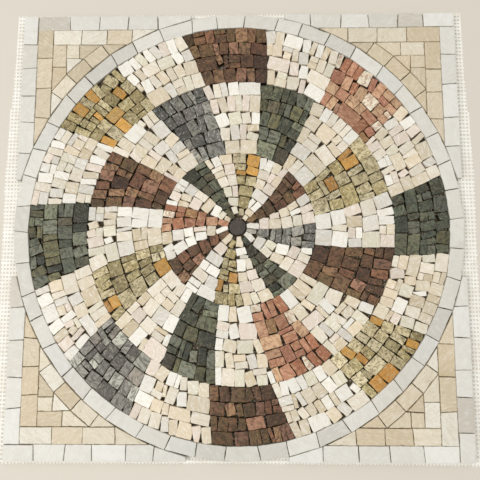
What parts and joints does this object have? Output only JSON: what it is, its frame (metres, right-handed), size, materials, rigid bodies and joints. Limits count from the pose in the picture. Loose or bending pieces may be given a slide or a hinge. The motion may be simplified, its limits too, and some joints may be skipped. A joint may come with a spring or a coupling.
{
  "type": "mosaic panel",
  "caption": "Square hand-laid marble mosaic panel with a round checkered wheel, a pale ring and border, on a glass-fibre mesh, for setting in a wall or floor.",
  "frame": {"origin": "middle of the panel's underside, on the back of the mesh", "axes": "+Z out of the stone face, +X to the right and +Y to the top of the panel seen from its face, along its straight edges"},
  "size_m": [0.536, 0.512, 0.0096],
  "materials": {
    "cream_marble": "honed",
    "ochre_marble": "honed",
    "green_marble": "honed",
    "blue_grey_marble": "honed",
    "brown_marble": "honed",
    "salmon_marble": "honed",
    "purple_grey_marble": "honed",
    "dark_brown_marble": "honed",
    "pale_grey_marble": "honed",
    "travertine": "honed",
    "glass_fibre_mesh": "matt"
  },
  "bodies": {
    "root": {"backing_mesh": "glass_fibre_mesh", "border_bottom_left": "pale_grey_marble", "border_bottom_right": "pale_grey_marble", "border_top_left": "pale_grey_marble", "border_top_right": "pale_grey_marble", "centre_stone": "dark_brown_marble", "corner_bottom_left": "travertine", "corner_bottom_right": "travertine", "corner_top_left": "travertine", "corner_top_right": "travertine", "inner_field_01_cream": "cream_marble", "inner_field_02_brown": "brown_marble", "inner_field_03_cream": "cream_marble", "inner_field_04_ochre": "ochre_marble", "inner_field_05_cream": "cream_marble", "inner_field_06_green": "green_marble", "inner_field_07_cream": "cream_marble", "inner_field_08_salmon": "salmon_marble", "inner_field_09_cream": "cream_marble", "inner_field_10_brown": "brown_marble", "inner_field_11_cream": "cream_marble", "inner_field_12_ochre": "ochre_marble", "inner_field_13_cream": "cream_marble", "inner_field_14_green": "green_marble", "inner_field_15_cream": "cream_marble", "inner_field_16_blue": "blue_grey_marble", "middle_field_01_ochre": "ochre_marble", "middle_field_02_cream": "cream_marble", "middle_field_03_green": "green_marble", "middle_field_04_cream": "cream_marble", "middle_field_05_blue": "blue_grey_marble", "middle_field_06_cream": "cream_marble", "middle_field_07_brown": "brown_marble", "middle_field_08_cream": "cream_marble", "middle_field_09_ochre": "ochre_marble", "middle_field_10_cream": "cream_marble", "middle_field_11_green": "green_marble", "middle_field_12_cream": "cream_marble", "middle_field_13_salmon": "salmon_marble", "middle_field_14_cream": "cream_marble", "middle_field_15_brown": "brown_marble", "middle_field_16_cream": "cream_marble", "outer_field_01_cream": "cream_marble", "outer_field_02_salmon": "salmon_marble", "outer_field_03_cream": "cream_marble", "outer_field_04_brown": "brown_marble", "outer_field_05_cream": "cream_marble", "outer_field_06_ochre": "ochre_marble", "outer_field_07_cream": "cream_marble", "outer_field_08_green": "green_marble", "outer_field_09_cream": "cream_marble", "outer_field_10_grey": "purple_grey_marble", "outer_field_11_cream": "cream_marble", "outer_field_12_brown": "brown_marble", "outer_field_13_cream": "cream_marble", "outer_field_14_ochre": "ochre_marble", "outer_field_15_cream": "cream_marble", "outer_field_16_green": "green_marble", "white_ring": "pale_grey_marble"}
  },
  "joints": []
}
